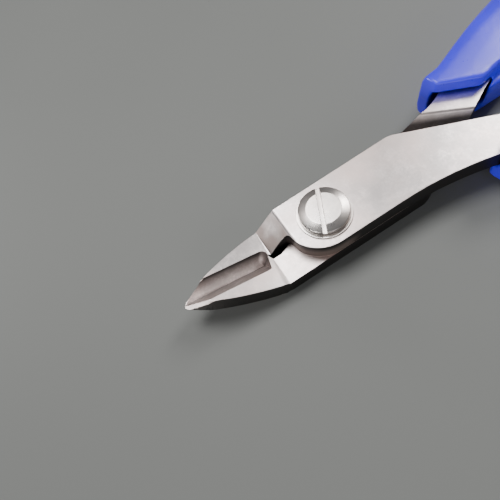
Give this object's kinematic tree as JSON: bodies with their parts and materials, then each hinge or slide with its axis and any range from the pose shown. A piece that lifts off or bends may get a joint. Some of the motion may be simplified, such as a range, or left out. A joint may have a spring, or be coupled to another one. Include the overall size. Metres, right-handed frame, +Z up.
{
  "type": "flush cutter",
  "caption": "Flush cutter: lap-jointed steel halves with angled jaws on a slotted pivot screw, blue sleeve grips and twin leaf return springs.",
  "frame": {"origin": "on the pivot screw's axis, in the plane of the screw's flat tail and the underside of the lap, which the tool rests on", "axes": "+X from the pivot towards the handles along the centre line of the closed tool; +Z up the pivot axis towards the screw head; +Y completes the frame, towards the handle of the lower half"},
  "size_m": [0.1279, 0.0426, 0.0096],
  "materials": {
    "jaw_steel": "satin, bead blasted",
    "screw_steel": "bright turned",
    "spring_steel": "tempered strip",
    "blue_grip": "moulded vinyl, satin"
  },
  "bodies": {
    "lower_body": {"lower_half": "jaw_steel", "pivot_screw": "screw_steel", "pivot_washer": "screw_steel", "lower_grip": "blue_grip", "lower_spring_pin": "spring_steel"},
    "upper_body": {"upper_half": "jaw_steel", "upper_grip": "blue_grip", "upper_spring_pin": "spring_steel"},
    "lower_leaf": {"lower_spring": "spring_steel"},
    "upper_leaf": {"upper_spring": "spring_steel"}
  },
  "joints": [
    {"name": "jaw_pivot", "type": "hinge", "parent": "lower_body", "child": "upper_body", "pos_m": [0, 0, 0.0048], "axis": [0, 0, -1], "range_deg": [0, 16], "stiffness_Nm_per_rad": 0.5, "springref_deg": 17.19},
    {"name": "lower_leaf_root", "type": "hinge", "parent": "lower_body", "child": "lower_leaf", "pos_m": [0.0406, 0.0053, 0.0048], "axis": [0, 0, -1], "range_deg": [0, 23]},
    {"name": "upper_leaf_root", "type": "hinge", "parent": "upper_body", "child": "upper_leaf", "pos_m": [0.0406, -0.0053, 0.0048], "axis": [0, 0, 1], "range_deg": [0, 23]}
  ],
  "couplings": [
    {"joint": "lower_leaf_root", "follows": "jaw_pivot", "ratio": 1.385},
    {"joint": "upper_leaf_root", "follows": "jaw_pivot", "ratio": 1.385}
  ]
}
